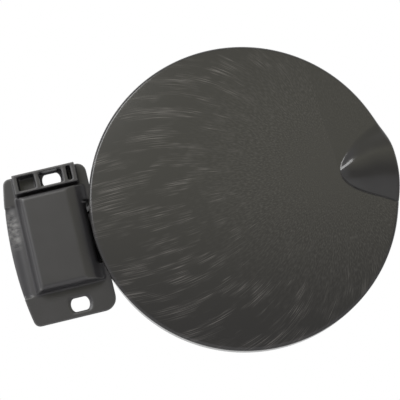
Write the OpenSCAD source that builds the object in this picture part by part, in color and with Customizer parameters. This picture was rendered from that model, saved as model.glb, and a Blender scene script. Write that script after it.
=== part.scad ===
// Round fuel door of a car with its gooseneck hinge and moulded hinge bracket.
// Every piece is drawn face on: x towards the free edge, y up, z out of the car.
// face_on() then turns it to X right, Y into the car, Z up.
// The origin is midway between the two fixing holes, on the back of the flange.

/* [Door panel] */
// Diameter of the door
door_d = 165; // [155:1:175]
// Rise of the dome above its rim
dome_rise = 5; // [3:0.5:8]
// Thickness of the skin
skin_t = 2.5; // [2:0.1:3]
// Depth of the skirt behind the rim
skirt_h = 10; // [9:0.5:11]
// Radius of the rim's outer edge
rim_round = 1.4; // [0.6:0.1:2]
// Height of the rim above the back of the flange
rim_z = 14; // [14:0.5:16]
// Place of the hinge side of the door, from the fixing holes
door_edge_x = 15.1; // [14.6:0.1:16.5]
// Height of the door's centre above the origin
door_y = -0.2; // [-3:0.2:3]

/* [Finger pull] */
// Length of the raised pull, from its tip to the rim
pull_len = 30; // [24:1:36]
// Height of the pull's crest above the rim
pull_rise = 6.5; // [5:0.5:8]
// Radius of the pull's cross section
pull_section_r = 28; // [24:1:34]
// How far the crest's highest point lies inside the rim
pull_top_in = 3; // [1:0.5:6]
// How far the lip overhangs the rim
lip_out = 0.8; // [0:0.1:2]
// Radius of the finger pocket behind the lip
pocket_r = 20; // [17:0.5:22]
// How far the pocket's centre lies outside the rim
pocket_out = 6.5; // [4:0.5:8]
// Thickness of the pocket's wall
pocket_wall = 2; // [1.5:0.1:2.5]

/* [Carrier] */
// Thickness of the carrier plate
plate_t = 2; // [1.6:0.1:3]
// How far the plate sits inside the skirt's back edge
plate_in = 2; // [1.5:0.1:3]
// Gap between the plate and the skirt
plate_gap = 0.8; // [0.5:0.1:1.5]
// Height of the plate's stiffening ribs
rib_h = 2.6; // [1.5:0.1:4]
// Thickness of the stiffening ribs
rib_t = 1.8; // [1.2:0.1:2.5]
// Number of spokes on the plate
spokes = 12; // [8:2:16]
// Radius of the inner ring of ribs
ring_r = 26; // [20:1:32]
// How far the outer ring of ribs lies inside the door's edge
ring_in = 22.5; // [19:0.5:26]
// How far the four screw bosses lie inside the door's edge
boss_in = 38.5; // [35:0.5:42]
// Outer diameter of a screw boss
boss_d = 8; // [7:0.5:10]

/* [Gooseneck] */
// Width of the gooseneck, over its two side webs
arm_w = 34; // [30:1:36]
// Radial thickness of the gooseneck
arm_t = 4; // [3:0.5:5]
// Thickness of the two side webs
web_t = 3.2; // [2.5:0.1:4]
// Thickness of the wall that joins the webs
arm_wall = 2.4; // [2:0.1:3]
// Room between the gooseneck and the edge of the bracket's roof
arm_gap = 1.2; // [1:0.1:2]
// Thickness of the gooseneck where it meets the plate
riser_w = 10; // [8:0.5:12]
// Width of the neck at the hinge barrel
neck_w = 7; // [5:0.5:8]
// Outer radius of the hinge barrel
barrel_r = 5.5; // [5:0.1:5.8]
// Radius of the cam's crest
cam_r = 7; // [6.6:0.1:7.2]
// Distance of the cam's two flats from the pin
cam_flat = 6.2; // [5.8:0.1:6.4]
// Width of the cam
cam_w = 10; // [6:1:14]
// Angle that the door opens through
open_deg = 95; // [80:1:95]

/* [Bracket flange] */
// Distance between the centres of the fixing holes
hole_pitch = 69; // [68.5:0.1:70]
// How far the flange runs on above the upper hole
flange_over = 5.8; // [5.6:0.1:6.2]
// How far the flange runs on below the lower hole
flange_under = 6.8; // [6.2:0.1:7.5]
// Length of a fixing hole, across its round ends
hole_l = 10; // [8:0.5:11]
// Width of a fixing hole, between its flats
hole_w = 7.2; // [6:0.1:7.4]
// Width of the shallow land round the lower fixing hole
land_w = 1.4; // [1:0.1:1.8]
// Depth of the land
land_d = 0.5; // [0.3:0.1:0.8]
// Distance of the flange's straight edge from the holes
flange_x1 = 19.2; // [17:0.1:20]
// Distance of the flange's bowed edge from the holes
flange_x0 = 29.7; // [29:0.1:31]
// How much the bowed edge bulges
bow = 4.3; // [2:0.1:6]
// Thickness of the flange
flange_t = 2.5; // [2:0.1:3]
// Radius of the flange's corners
corner_r = 3.5; // [2:0.5:4]
// Radius of the upper corner by the door
corner_top_r = 5; // [4:0.5:6]
// Radius of the lower corner by the door
corner_big_r = 7; // [4:0.5:9]

/* [Bracket housing] */
// Room between the housing's foot and the flange's upper end
room_high = 11.5; // [11.5:0.1:12]
// Room between the housing's foot and the flange's lower end
room_low = 16.2; // [16:0.1:18]
// Height of the housing's roof above the back of the flange
box_z = 10; // [9.5:0.1:10.5]
// Place of the housing's foot, left of the holes
box_x0 = 21.1; // [20.8:0.1:22]
// How far the left wall leans in
box_lean = 2.9; // [1:0.1:4]
// How far the end walls lean in
end_lean = 1.5; // [0.5:0.1:2.5]
// Place of the crease where the roof starts to slope
crease_x = 6.2; // [5:0.1:7]
// Place of the second crease, where the slope grows steeper
bend_x = 11.3; // [10.8:0.1:11.6]
// Height of the second crease
bend_z = 7.6; // [7.2:0.1:7.8]
// Place of the sloping roof's foot, beside the gooseneck
foot_x = 16.4; // [16:0.1:16.8]
// Place of the roof's free edge, over the gooseneck
slope_x = 13.1; // [12.8:0.1:13.4]
// Step from the roof's free edge down to the lip below it
lip_step = 0.4; // [0.3:0.1:0.6]
// Room between the gooseneck and each side of its notch
notch_gap = 0.6; // [0.5:0.1:1]
// Wall at each side of the notch
notch_wall = 1.6; // [1.2:0.1:2]
// How far the notch's side walls reach behind the flange
notch_back = 12; // [9:0.5:13]
// Fillet round the housing's foot
foot_fillet = 1.6; // [1:0.2:1.6]
// Wall of the housing
box_wall = 2; // [1.6:0.1:2.4]
// Thickness of the two cheeks that carry the pin
cheek_t = 2.5; // [2:0.1:3]
// Rounding of the housing's edges
box_round = 2.2; // [1:0.1:3]

/* [Rolled edge and rib frame] */
// Radius of the rolled back edge
roll_r = 9.3; // [8.5:0.1:11]
// Wall of the rolled edge
roll_t = 2.2; // [1.8:0.1:2.5]
// How much shorter than the housing the rolled edge is
roll_short = 4; // [2:0.5:6]
// Height of the rib frame above the flange
frame_h = 7; // [4:0.5:8]
// Thickness of the frame's upper and lower rails
frame_t = 1.3; // [1:0.1:1.5]
// Height of the rib frame, over its two rails
frame_w = 10.5; // [10.2:0.1:10.8]
// How far the rib frame lies inside the flange's upper edge
frame_in = 0.3; // [0.2:0.1:0.4]
// Left end of the rib frame, from the holes
frame_x0 = 20.4; // [19.5:0.1:21.5]
// Right end of the rib frame, from the holes
frame_x1 = 13.7; // [13.2:0.1:14.5]
// Left side of the cell with the hole, from the hole
cell_x0 = 6.2; // [5.8:0.1:7]
// Right side of the cell with the hole, from the hole
cell_x1 = 6.3; // [5.8:0.1:6.8]
// Thickness of the frame's end walls and cross ribs
frame_end_t = 2.5; // [2:0.1:2.8]

/* [Hinge pin] */
// Diameter of the pin
pin_d = 5; // [4:0.1:5]
// Place of the pin, left of the holes
pin_left = 6.5; // [6:0.1:7]
// Depth of the pin behind the back of the flange
pin_deep = 3.5; // [3:0.1:4]
// Radial clearance of the pin in its bores
pin_gap = 0.05; // [0.02:0.01:0.1]
// Thickness of the pin's head
pin_head_t = 1.6; // [1.2:0.1:2]
// Diameter of the pin's head
pin_head_d = 6.8; // [6:0.1:6.8]
// Outer diameter of the bushes
bush_d = 7.2; // [6.8:0.1:8]
// Diameter of the bushes' collars
collar_d = 10; // [9:0.5:11]
// Thickness of the bushes' collars
collar_t = 1.3; // [1:0.1:1.5]
// End play of the gooseneck between the collars, each side
end_play = 0.3; // [0.2:0.05:0.4]
// Thickness of the retaining clip
clip_t = 0.8; // [0.6:0.1:1]
// Outer diameter of the retaining clip
clip_d = 9.5; // [8.5:0.5:11]

/* [Small parts] */
// Thickness of the leaf spring
leaf_t = 0.8; // [0.5:0.1:0.8]
// Width of the leaf spring
leaf_w = 12; // [8:1:16]
// Room round the leaf's ends in their seats
leaf_gap = 0.1; // [0.05:0.05:0.15]
// Diameter of the screw shanks
screw_d = 3.5; // [3:0.1:4]
// Diameter of the screw heads
screw_head_d = 7; // [6:0.5:8]
// Height of the screw heads
screw_head_h = 2.2; // [1.8:0.1:2.6]
// Length of the screws under the head
screw_l = 9; // [7:0.5:9]
// Diameter of a buffer's head
buffer_d = 10; // [8:0.5:12]
// How far the buffers stand behind the skirt
buffer_out = 2.5; // [1:0.5:4]
// Diameter of a buffer's neck
buffer_neck_d = 6; // [5:0.5:7]
// How far the buffers lie inside the door's edge
buffer_in = 14.5; // [13:0.5:16]
// Angle of each buffer above and below the finger pull
buffer_deg = 38; // [34:1:60]

/* [Hidden] */
$fn = 64;

// Small overlap that lets joined shapes run into each other, and room past a cut
eps = 0.6;
far = 60;

// Door panel
door_r = door_d / 2;
door_x = door_edge_x + door_r;
skirt_z = rim_z - skirt_h;
dome_r = (door_r * door_r + dome_rise * dome_rise) / (2 * dome_rise);
dome_cz = rim_z + dome_rise - dome_r;
function dome_z(r, inset = 0) = dome_cz + sqrt(pow(dome_r - inset, 2) - r * r);
round_cz = dome_cz + sqrt(pow(dome_r - rim_round, 2) - pow(door_r - rim_round, 2));
round_steps = [0 : 15 : 75];

// Finger pull: a body of revolution whose crest line is an arc from the tip to the top
pull_x = door_r - pull_top_in;
pull_tip_x = door_r - pull_len;
pull_dz = rim_z + pull_rise - dome_z(pull_tip_x);
pull_crest_r = (pow(pull_x - pull_tip_x, 2) + pull_dz * pull_dz) / (2 * pull_dz);
pull_axis_z = rim_z + pull_rise - pull_section_r;
pull_back = pull_len + 4;
pocket_x = door_r + pocket_out;

// Carrier plate and what stands on it
plate_z0 = skirt_z + plate_in;
plate_z1 = plate_z0 + plate_t;
plate_r = door_r - skin_t - plate_gap;
ring_out_r = door_r - ring_in;
boss_pitch_r = door_r - boss_in;
buffer_pitch_r = door_r - buffer_in;
boss_angles = [45, 135, 225, 315];
boss_top = plate_z1 + screw_l;

// Hinge
pin_x = -pin_left;
pin_z = -pin_deep;
pin_r = pin_d / 2;
flange_y0 = -hole_pitch / 2 - flange_under;
flange_y1 = hole_pitch / 2 + flange_over;
flange_h = flange_y1 - flange_y0;
cheek_y0 = flange_y0 + room_low;
cheek_y1 = flange_y1 - room_high;
box_l = cheek_y1 - cheek_y0;
box_y = (cheek_y0 + cheek_y1) / 2;
roll_y1 = cheek_y1 - roll_short;
cavity_y0 = cheek_y0 + cheek_t;
cavity_y1 = cheek_y1 - cheek_t;
barrel_y0 = cavity_y0 + collar_t + end_play;
barrel_y1 = cavity_y1 - collar_t - end_play;
arm_y0 = box_y - arm_w / 2;
arm_y1 = box_y + arm_w / 2;
notch_y0 = arm_y0 - notch_gap;
notch_y1 = arm_y1 + notch_gap;
cheek_r = collar_d / 2 + 1.2;
groove_y = cheek_y1 + 0.3;
groove_w = clip_t + 0.2;
groove_r = pin_r - 0.6;
pin_y1 = groove_y + groove_w + 1.6;

// Sloping part of the roof, seen along the pin
slope_run = (foot_x - bend_x) / (flange_t - bend_z);
slope_z = bend_z + (slope_x - bend_x) / slope_run;
slope_back = box_wall * norm([1, slope_run]);

// Gooseneck: it runs round the free edge of the roof, seen along the pin
roof_edge_r = norm([slope_x - pin_x, slope_z - pin_z]);
roof_edge_deg = -atan2(slope_z - pin_z, slope_x - pin_x);
arm_in_r = roof_edge_r + arm_gap;
arm_out_r = arm_in_r + arm_t;
neck_deg = roof_edge_deg + open_deg + 30;
arm_reach_y = max(arm_y1 - door_y, door_y - arm_y0);
riser_x0 = door_x - sqrt(pow(door_r - skin_t, 2) - arm_reach_y * arm_reach_y) + plate_gap;
riser_x1 = riser_x0 + riser_w;
riser_z = plate_z0 + eps;
under_rim_z = skirt_z - 1;
arm_side_x = pin_x + arm_in_r + 0.3;
riser_rel = [riser_x1 - pin_x, riser_z - pin_z];
tangent_deg = acos(arm_out_r / norm(riser_rel)) - atan2(riser_rel[1], riser_rel[0]);
tangent = arm_out_r * [cos(tangent_deg), -sin(tangent_deg)];

// Housing section, seen along the pin
roof_lean = box_lean / (box_z - flange_t);
leaf_z = pin_z + cam_r + 0.3;
leaf_x0 = -box_x0 + box_lean + box_wall - 1.4;
leaf_x1 = foot_x + (leaf_z + leaf_t - flange_t) * slope_run - slope_back - 1;
seat_l = 3;
roll_reach = sqrt(pow(roll_r, 2) - pow(roll_r - flange_t, 2)) - 0.2;
fillet_steps = [[-0.2, 1], [0, 1], [0.12, 0.52], [0.42, 0.18], [1, 0]];
bow_r = (flange_h * flange_h / 4 + bow * bow) / (2 * bow);

module face_on() {
    rotate([90, 0, 0]) children();
}

// Extrudes a section drawn in x and z along y
module along_y(y0, y1) {
    translate([0, y1, 0]) rotate([90, 0, 0]) linear_extrude(y1 - y0) children();
}

// Extrudes a section drawn in y and z along x
module along_x(x0, x1) {
    translate([x0, 0, 0]) rotate([90, 0, 90]) linear_extrude(x1 - x0) children();
}

// Rounds the corners of an outline
module rounded(r) {
    offset(r = r, $fn = 24) offset(delta = -r) children();
}

// Wedge about the pin from angle a to angle b, measured from +x towards the back
module sector(a, b) {
    mid = (a + b) / 2;
    polygon([[0, 0], far * [cos(a), -sin(a)], far * 1.4 * [cos(mid), -sin(mid)], far * [cos(b), -sin(b)]]);
}

module at_pin() {
    translate([pin_x, pin_z]) children();
}

module at_door() {
    translate([door_x, door_y, 0]) children();
}

// A round hole cut to two flats
module double_d(l, w, h) {
    linear_extrude(h) intersection() {
        circle(d = l);
        square([l, w], center = true);
    }
}

// Outer form of the domed door with its rounded rim
module dome() {
    rotate_extrude($fn = 180) intersection() {
        translate([0, dome_cz]) circle(dome_r, $fn = 1440);
        polygon(concat(
            [[0, skirt_z], [door_r, skirt_z]],
            [for (a = round_steps) [door_r, round_cz] + rim_round * [cos(a) - 1, sin(a)]],
            [[door_r * 0.8, rim_z + dome_rise * 1.5], [0, rim_z + dome_rise * 1.5]]));
    }
}

// Hollow of the door behind its skin
module dome_hollow(wide = 0) {
    rotate_extrude($fn = 180) intersection() {
        translate([0, dome_cz]) circle(dome_r - skin_t, $fn = 1440);
        translate([0, skirt_z - 1]) square([door_r - skin_t + wide, far]);
    }
}

// Body of revolution that swells out of the dome towards the rim
module pull_body(inset) {
    translate([pull_x, 0, pull_axis_z]) rotate([0, 90, 0]) rotate_extrude($fn = 120) intersection() {
        translate([pull_section_r - pull_crest_r, 0]) circle(pull_crest_r - inset, $fn = 720);
        translate([0, -pull_back]) square([pull_section_r + 1, pull_back + far]);
    }
}

module pull_outer() {
    intersection() {
        pull_body(0);
        translate([0, 0, rim_z - skin_t]) cylinder(r = door_r + lip_out, h = far, $fn = 180);
    }
}

module pull_hollow() {
    intersection() {
        pull_body(skin_t);
        translate([0, 0, rim_z - skin_t - 1]) cylinder(r = door_r + far / 4, h = far);
    }
}

module panel_outer() {
    dome();
    pull_outer();
}

module pocket(r) {
    translate([pocket_x, 0, skirt_z - 1]) cylinder(r = r, h = far);
}

module bosses(d, z0, z1) {
    for (a = boss_angles) rotate(a) translate([boss_pitch_r, 0, z0]) cylinder(d = d, h = z1 - z0, $fn = 48);
}

module door_panel() {
    color([0.25, 0.25, 0.24]) face_on() at_door() difference() {
        union() {
            difference() {
                panel_outer();
                dome_hollow();
                pull_hollow();
            }
            intersection() {
                panel_outer();
                difference() {
                    translate([0, 0, skirt_z + 1]) pocket(pocket_r + pocket_wall);
                    pocket(pocket_r);
                }
                cylinder(r = door_r - rim_round, h = far, $fn = 180);
            }
            intersection() {
                dome();
                bosses(boss_d, plate_z1, far);
            }
        }
        intersection() {
            pocket(pocket_r);
            union() {
                dome_hollow(lip_out + far / 4);
                pull_hollow();
            }
        }
        bosses(screw_d + 0.1, plate_z1 - 1, boss_top);
    }
}

// Side web of the gooseneck, seen along the pin
module web_section() {
    difference() {
        union() {
            at_pin() circle(barrel_r);
            at_pin() intersection() {
                circle(arm_out_r, $fn = 128);
                sector(0, neck_deg + asin(neck_w / 2 / arm_out_r));
            }
            polygon([
                [pin_x, pin_z], [arm_side_x, pin_z], [arm_side_x, under_rim_z - 3],
                [riser_x0 - 3.5, under_rim_z], [riser_x0, under_rim_z], [riser_x0, riser_z],
                [riser_x1, riser_z], [pin_x, pin_z] + tangent]);
        }
        at_pin() difference() {
            circle(arm_in_r, $fn = 128);
            circle(barrel_r);
            rotate(-neck_deg) translate([0, -neck_w / 2]) square([arm_out_r, neck_w]);
        }
        at_pin() circle(pin_r + pin_gap);
    }
}

// Wall that joins the webs, seen along the pin
module wall_section() {
    at_pin() difference() {
        union() {
            difference() {
                intersection() {
                    circle(arm_out_r, $fn = 128);
                    sector(tangent_deg, neck_deg + asin(neck_w / 2 / arm_out_r));
                }
                circle(arm_out_r - arm_wall, $fn = 128);
            }
            polygon([tangent, riser_rel, riser_rel - tangent / arm_out_r * arm_wall,
                     tangent * (1 - arm_wall / arm_out_r)]);
            rotate(-neck_deg) translate([0, -arm_wall / 2]) square([arm_out_r - 1, arm_wall]);
            circle(barrel_r);
        }
        circle(pin_r + pin_gap);
    }
}

// Crest with two flats that the leaf spring rests on with the door shut or open
module cam_section() {
    at_pin() difference() {
        circle(cam_r);
        translate([-cam_r, cam_flat]) square(2 * cam_r);
        rotate(-open_deg) translate([-cam_r, cam_flat]) square(2 * cam_r);
        circle(pin_r + pin_gap);
    }
}

// Tapered rib that carries a web's load into the plate
module gusset_section() {
    polygon([[riser_x1 - 4, riser_z], [door_x - ring_r, riser_z], [door_x - ring_r, plate_z0 - rib_h],
             [riser_x1 - 1, plate_z0 - 3 * rib_h]]);
}

module gooseneck() {
    for (y = [arm_y0, arm_y1 - web_t]) {
        along_y(y, y + web_t) web_section();
        along_y(y, y + web_t) gusset_section();
    }
    along_y(arm_y0, arm_y1) wall_section();
    along_y(barrel_y0, barrel_y1) at_pin() difference() {
        circle(barrel_r);
        circle(pin_r + pin_gap);
    }
    along_y(box_y - cam_w / 2, box_y + cam_w / 2) cam_section();
}

module rib_ring(r) {
    translate([0, 0, plate_z0 - rib_h]) difference() {
        cylinder(r = r, h = rib_h + eps, $fn = 128);
        translate([0, 0, -1]) cylinder(r = r - rib_t, h = rib_h + 3, $fn = 128);
    }
}

module plate_ribs() {
    rib_ring(ring_r);
    rib_ring(ring_out_r);
    for (i = [1 : spokes - 1]) if (abs(i - spokes / 2) > 1)
        rotate(i * 360 / spokes) translate([ring_r - rib_t / 2, -rib_t / 2, plate_z0 - rib_h])
            cube([ring_out_r - ring_r, rib_t, rib_h + eps]);
}

module buffer_places() {
    for (s = [-1, 1]) rotate(s * buffer_deg) translate([buffer_pitch_r, 0, 0]) children();
}

module panel_carrier() {
    color([0.17, 0.17, 0.17]) face_on() difference() {
        union() {
            at_door() {
                translate([0, 0, plate_z0]) cylinder(r = plate_r, h = plate_t, $fn = 180);
                plate_ribs();
            }
            gooseneck();
        }
        at_door() {
            pocket(pocket_r + pocket_wall + plate_gap);
            bosses(screw_d + 0.5, plate_z0 - far / 2, plate_z1 + 1);
            bosses(screw_head_d + 1, plate_z0 - far / 2, plate_z0);
            buffer_places() {
                translate([0, 0, plate_z0 - far / 4]) cylinder(d = buffer_d + 1, h = far / 4);
                translate([0, 0, plate_z0 - 1]) cylinder(d = buffer_neck_d + 0.2, h = plate_t + 2);
            }
        }
    }
}

module screw() {
    difference() {
        union() {
            translate([0, 0, plate_z0 - screw_head_h])
                cylinder(d = screw_head_d, h = screw_head_h, $fn = 48);
            translate([0, 0, plate_z0 - 0.1]) cylinder(d = screw_d, h = screw_l + 0.1, $fn = 32);
        }
        for (a = [0, 90]) rotate(a) translate([-screw_head_d / 4, -0.5, plate_z0 - screw_head_h - 1])
            cube([screw_head_d / 2, 1, 2.2]);
    }
}

module carrier_screws() {
    color([0.7, 0.7, 0.68]) face_on() at_door()
        for (a = boss_angles) rotate(a) translate([boss_pitch_r, 0, 0]) screw();
}

// Rubber buffer buttoned into the plate: head, neck and retaining bulb
module buffer(side) {
    z0 = skirt_z - buffer_out;
    color([0.1, 0.1, 0.1]) face_on() at_door() rotate(side * buffer_deg) translate([buffer_pitch_r, 0, 0]) {
        translate([0, 0, z0]) cylinder(d1 = buffer_d - 2, d2 = buffer_d, h = 1);
        translate([0, 0, z0 + 1]) cylinder(d = buffer_d, h = plate_z0 - z0 - 1);
        translate([0, 0, plate_z0 - 0.1]) cylinder(d = buffer_neck_d, h = plate_t + 0.3);
        translate([0, 0, plate_z1 + 0.1]) cylinder(d1 = buffer_neck_d + 2, d2 = buffer_neck_d - 1, h = 2);
    }
}

module buffer_upper() {
    buffer(1);
}

module buffer_lower() {
    buffer(-1);
}

// Outline of the flange with its bowed edge
module flange_outline() {
    intersection() {
        rounded(corner_r) intersection() {
            translate([-flange_x0, flange_y0]) square([flange_x0 + flange_x1, flange_h]);
            translate([bow_r - flange_x0, (flange_y0 + flange_y1) / 2]) circle(bow_r, $fn = 360);
        }
        hull() {
            translate([-far, flange_y0]) square([far, flange_h]);
            translate([flange_x1 - corner_big_r, flange_y0 + corner_big_r]) circle(corner_big_r);
            translate([flange_x1 - corner_top_r, flange_y1 - corner_top_r]) circle(corner_top_r);
        }
    }
}

// Housing section seen along the pin, down to the foot of its slope
module box_section() {
    polygon([
        [-box_x0 - roof_lean * far / 2, flange_t - far / 2], [-box_x0 + box_lean, box_z],
        [crease_x, box_z], [bend_x, bend_z], [foot_x, flange_t], [foot_x, flange_t - far / 2]]);
}

module box_outer() {
    intersection() {
        along_y(cheek_y0, cheek_y1) rounded(box_round) box_section();
        along_x(-far, far) rounded(box_round) polygon([
            [cheek_y0, -far / 2], [cheek_y0, 0], [cheek_y0 + end_lean, box_z],
            [cheek_y1 - end_lean, box_z], [cheek_y1, 0], [cheek_y1, -far / 2]]);
        linear_extrude(far) rounded(box_round + 1) translate([-box_x0 - 1, cheek_y0])
            square([box_x0 + 1 + foot_x, box_l]);
    }
}

// Concave fillet between the housing and the flange, as a stack of tapers
module foot_taper() {
    x0 = roof_lean * foot_fillet - box_x0;
    x1 = foot_x - foot_fillet;
    end_in = end_lean * (flange_t + foot_fillet) / box_z;
    foot = [x1 - x0, box_l - 2 * end_in];
    translate([(x0 + x1) / 2, box_y, flange_t]) for (i = [0 : len(fillet_steps) - 2]) {
        step = fillet_steps[i];
        next = fillet_steps[i + 1];
        low = foot + 2 * foot_fillet * step[1] * [1, 1];
        high = foot + 2 * foot_fillet * next[1] * [1, 1];
        layer_h = foot_fillet * (next[0] - step[0]);
        translate([0, 0, foot_fillet * step[0]])
            linear_extrude(layer_h, slices = 1, scale = [high[0] / low[0], high[1] / low[1]])
                rounded(box_round + 1 + foot_fillet) square(low, center = true);
    }
}

// Hollow of the housing, open at the back, with the gooseneck's notch towards the door
module box_hollow() {
    difference() {
        along_y(cavity_y0, cavity_y1) offset(delta = -box_wall) box_section();
        for (y = [notch_y0 - notch_wall, notch_y1]) along_y(y, y + notch_wall)
            translate([0, -far]) square(2 * far);
    }
    along_y(notch_y0, notch_y1) translate([slope_x, -far]) square(2 * far);
}

// Wall below the roof's free edge, bent about the pin, so the gooseneck passes it at an even distance
module lip() {
    along_y(notch_y0 - notch_wall, notch_y1 + notch_wall) intersection() {
        at_pin() difference() {
            circle(roof_edge_r, $fn = 128);
            circle(roof_edge_r - box_wall, $fn = 128);
        }
        square([far, slope_z - lip_step]);
    }
}

// Walls beside the notch, which keep the gooseneck's swing covered from the front
module notch_sides() {
    for (y = [notch_y0 - notch_wall, notch_y1]) along_y(y, y + notch_wall) intersection() {
        at_pin() circle(arm_out_r, $fn = 128);
        translate([0, -notch_back]) square([foot_x, notch_back + flange_t]);
    }
}

// Cheek behind the flange that carries one end of the pin
module cheek(y) {
    along_y(y, y + cheek_t) hull() {
        at_pin() circle(cheek_r, $fn = 48);
        translate([pin_x - cheek_r - 4, 0]) square([2 * cheek_r + 8, flange_t - 0.5]);
    }
}

// Edge of the flange beside the housing, rolled back into the car
module rolled_edge() {
    intersection() {
        along_y(cheek_y0, roll_y1) translate([-box_x0, flange_t - roll_r]) intersection() {
            difference() {
                circle(roll_r, $fn = 96);
                circle(roll_r - roll_t, $fn = 96);
            }
            translate([-far, 0]) square([far + 0.4, far]);
        }
        translate([0, 0, -far / 2]) linear_extrude(far) flange_outline();
    }
}

// Walls that close the rolled edge's two ends under the flange
module roll_ends() {
    intersection() {
        for (y = [cheek_y0 - roll_t, roll_y1]) along_y(y, y + roll_t) difference() {
            translate([-far, flange_t - far]) square([far - box_x0, far]);
            translate([-box_x0, flange_t - roll_r]) circle(roll_r - roll_t, $fn = 96);
            translate([-far, flange_t - roll_r - far]) square([far, far]);
        }
        translate([0, 0, -far / 2]) linear_extrude(far) flange_outline();
        along_y(cheek_y0 - roll_t, roll_y1 + roll_t) union() {
            intersection() {
                translate([-box_x0, flange_t - roll_r]) circle(roll_r, $fn = 96);
                translate([-box_x0 - roll_reach, -far]) square(2 * far);
            }
            translate([-far, 0]) square([far, flange_t]);
        }
    }
}

// Frame of ribs round the upper fixing hole
module rib_frame() {
    y0 = flange_y1 - frame_in - frame_w;
    inner_w = frame_w - 2 * frame_t;
    translate([0, 0, flange_t - 0.5]) linear_extrude(frame_h + 0.5) difference() {
        translate([-frame_x0, y0]) square([frame_x0 + frame_x1, frame_w]);
        translate([-frame_x0 + frame_end_t, y0 + frame_t])
            square([frame_x0 - cell_x0 - 2 * frame_end_t, inner_w]);
        translate([-cell_x0, y0 + frame_t]) square([cell_x0 + cell_x1, inner_w]);
        translate([cell_x1 + frame_end_t, y0 + frame_t])
            square([frame_x1 - cell_x1 - 2 * frame_end_t, inner_w]);
    }
}

// Seats that trap the two ends of the leaf spring
module leaf_seats() {
    intersection() {
        box_outer();
        along_y(box_y - leaf_w / 2 - 1, box_y + leaf_w / 2 + 1) difference() {
            union() {
                translate([-box_x0, leaf_z - 2]) square([leaf_x0 + seat_l + box_x0, far]);
                translate([leaf_x1 - seat_l, leaf_z - 2]) square([slope_x - leaf_x1 + seat_l, far]);
            }
            translate([leaf_x0 - leaf_gap, leaf_z - leaf_gap])
                square([leaf_x1 - leaf_x0 + 2 * leaf_gap, leaf_t + 2 * leaf_gap]);
            translate([leaf_x0 + seat_l, -far / 2]) square([leaf_x1 - leaf_x0 - 2 * seat_l, far]);
        }
    }
}

// Rooms for the pin's head and for the clip in the back of the flange
module pin_rooms() {
    along_y(cheek_y0 - pin_head_t - 0.4, cheek_y0) translate([pin_x - pin_head_d / 2 - 0.3, -far])
        square([pin_head_d + 0.6, far + 0.3]);
    along_y(cheek_y1, pin_y1 + 0.5) translate([pin_x - clip_d / 2 - 0.3, -far])
        square([clip_d + 0.6, far + clip_d / 2 + pin_z + 0.2]);
}

module hinge_bracket() {
    color([0.28, 0.28, 0.28]) face_on() difference() {
        union() {
            difference() {
                union() {
                    linear_extrude(flange_t) flange_outline();
                    box_outer();
                    cheek(cheek_y0);
                    cheek(cheek_y1 - cheek_t);
                    rib_frame();
                }
                box_hollow();
                translate([-far, cheek_y0, -1]) cube([far - box_x0, roll_y1 - cheek_y0, flange_t + 2]);
            }
            difference() {
                foot_taper();
                box_hollow();
            }
            lip();
            notch_sides();
            rolled_edge();
            roll_ends();
            leaf_seats();
        }
        along_y(cheek_y0 - 1, cheek_y1 + 0.1) at_pin() circle(d = bush_d + 0.04);
        pin_rooms();
        for (s = [-1, 1]) translate([0, s * hole_pitch / 2, -1]) double_d(hole_l, hole_w, far);
        translate([0, -hole_pitch / 2, flange_t - land_d])
            double_d(hole_l + 2 * land_w, hole_w + land_w, far);
    }
}

// Flanged bush with its collar inside the cheek; side is 1 at the top
module bush(side) {
    y = side > 0 ? cavity_y1 : cavity_y0;
    color([0.85, 0.85, 0.8]) face_on() difference() {
        union() {
            along_y(min(y, y + side * cheek_t), max(y, y + side * cheek_t)) at_pin() circle(d = bush_d);
            along_y(min(y, y - side * collar_t), max(y, y - side * collar_t)) at_pin() circle(d = collar_d);
        }
        along_y(y - far / 4, y + far / 4) at_pin() circle(pin_r + pin_gap);
    }
}

module bush_lower() {
    bush(-1);
}

module bush_upper() {
    bush(1);
}

module hinge_pin() {
    color([0.75, 0.76, 0.78]) face_on() difference() {
        union() {
            along_y(cheek_y0 - pin_head_t, cheek_y0) at_pin() circle(d = pin_head_d);
            along_y(cheek_y0 - 0.1, pin_y1) at_pin() circle(pin_r);
        }
        along_y(groove_y, groove_y + groove_w) at_pin() difference() {
            circle(pin_r + 1);
            circle(groove_r);
        }
    }
}

// Push-on clip in the pin's groove
module pin_clip() {
    y0 = groove_y + 0.1;
    color([0.6, 0.6, 0.62]) face_on() along_y(y0, y0 + clip_t) at_pin() difference() {
        circle(d = clip_d);
        circle(groove_r + 0.1);
        translate([-groove_r * 0.8, 0]) square([groove_r * 1.6, clip_d]);
        for (a = [30, 150, 270]) rotate(a) translate([groove_r + 1.3, 0]) circle(0.9);
    }
}

// Strip of spring steel that the cam bends as the door passes half way
module leaf_spring() {
    color([0.5, 0.52, 0.56]) face_on() {
        translate([leaf_x0, box_y - leaf_w / 2, leaf_z]) cube([leaf_x1 - leaf_x0, leaf_w, leaf_t]);
    }
}

hinge_bracket();
hinge_pin();
pin_clip();
bush_lower();
bush_upper();
leaf_spring();
door_panel();
panel_carrier();
carrier_screws();
buffer_upper();
buffer_lower();
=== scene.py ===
"""Looks of a round car fuel door on its gooseneck hinge: skins, mouldings, finishes, light and camera."""
import logging
import math
from dataclasses import dataclass, field
from enum import Enum

import bmesh
import bpy
import numpy as np
from mathutils import Matrix, Vector


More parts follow.
